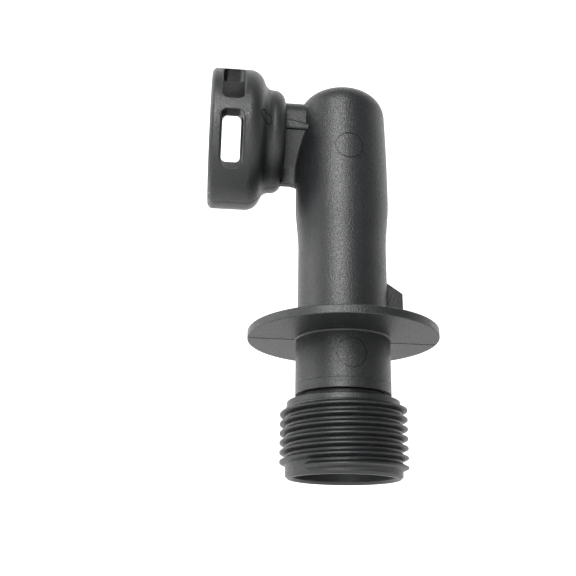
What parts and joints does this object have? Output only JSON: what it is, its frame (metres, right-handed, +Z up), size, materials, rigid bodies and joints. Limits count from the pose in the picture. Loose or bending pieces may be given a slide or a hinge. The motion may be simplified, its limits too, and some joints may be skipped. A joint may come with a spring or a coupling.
{
  "type": "hose elbow fitting",
  "caption": "Moulded right-angle hose elbow: male threaded spigot, seating flange, closed upright tube, and a windowed push-fit side socket with its seal stack.",
  "frame": {"origin": "centre of the spigot's mouth, in the plane of the threaded end's face, on the tube's axis", "axes": "+Z up the tube toward its closed top; -X toward the side socket's open end; -Y is the side seen from the front"},
  "size_m": [0.0513, 0.0412, 0.0927],
  "materials": {
    "glass_filled_nylon": "as-moulded black glass-filled nylon, fine speckled grain, satin",
    "seal_rubber": "smooth black nitrile rubber",
    "acetal_white": "turned natural acetal",
    "acetal_dark": "moulded dark grey acetal, satin"
  },
  "bodies": {
    "root": {"threaded_spigot": "glass_filled_nylon", "plain_neck": "glass_filled_nylon", "seat_flange": "glass_filled_nylon", "locating_key": "glass_filled_nylon", "upright_tube": "glass_filled_nylon", "cross_neck": "glass_filled_nylon", "side_socket": "glass_filled_nylon", "inner_o_ring": "seal_rubber", "spacer_ring": "acetal_white", "outer_o_ring": "seal_rubber", "seal_bush": "acetal_dark"}
  },
  "joints": []
}
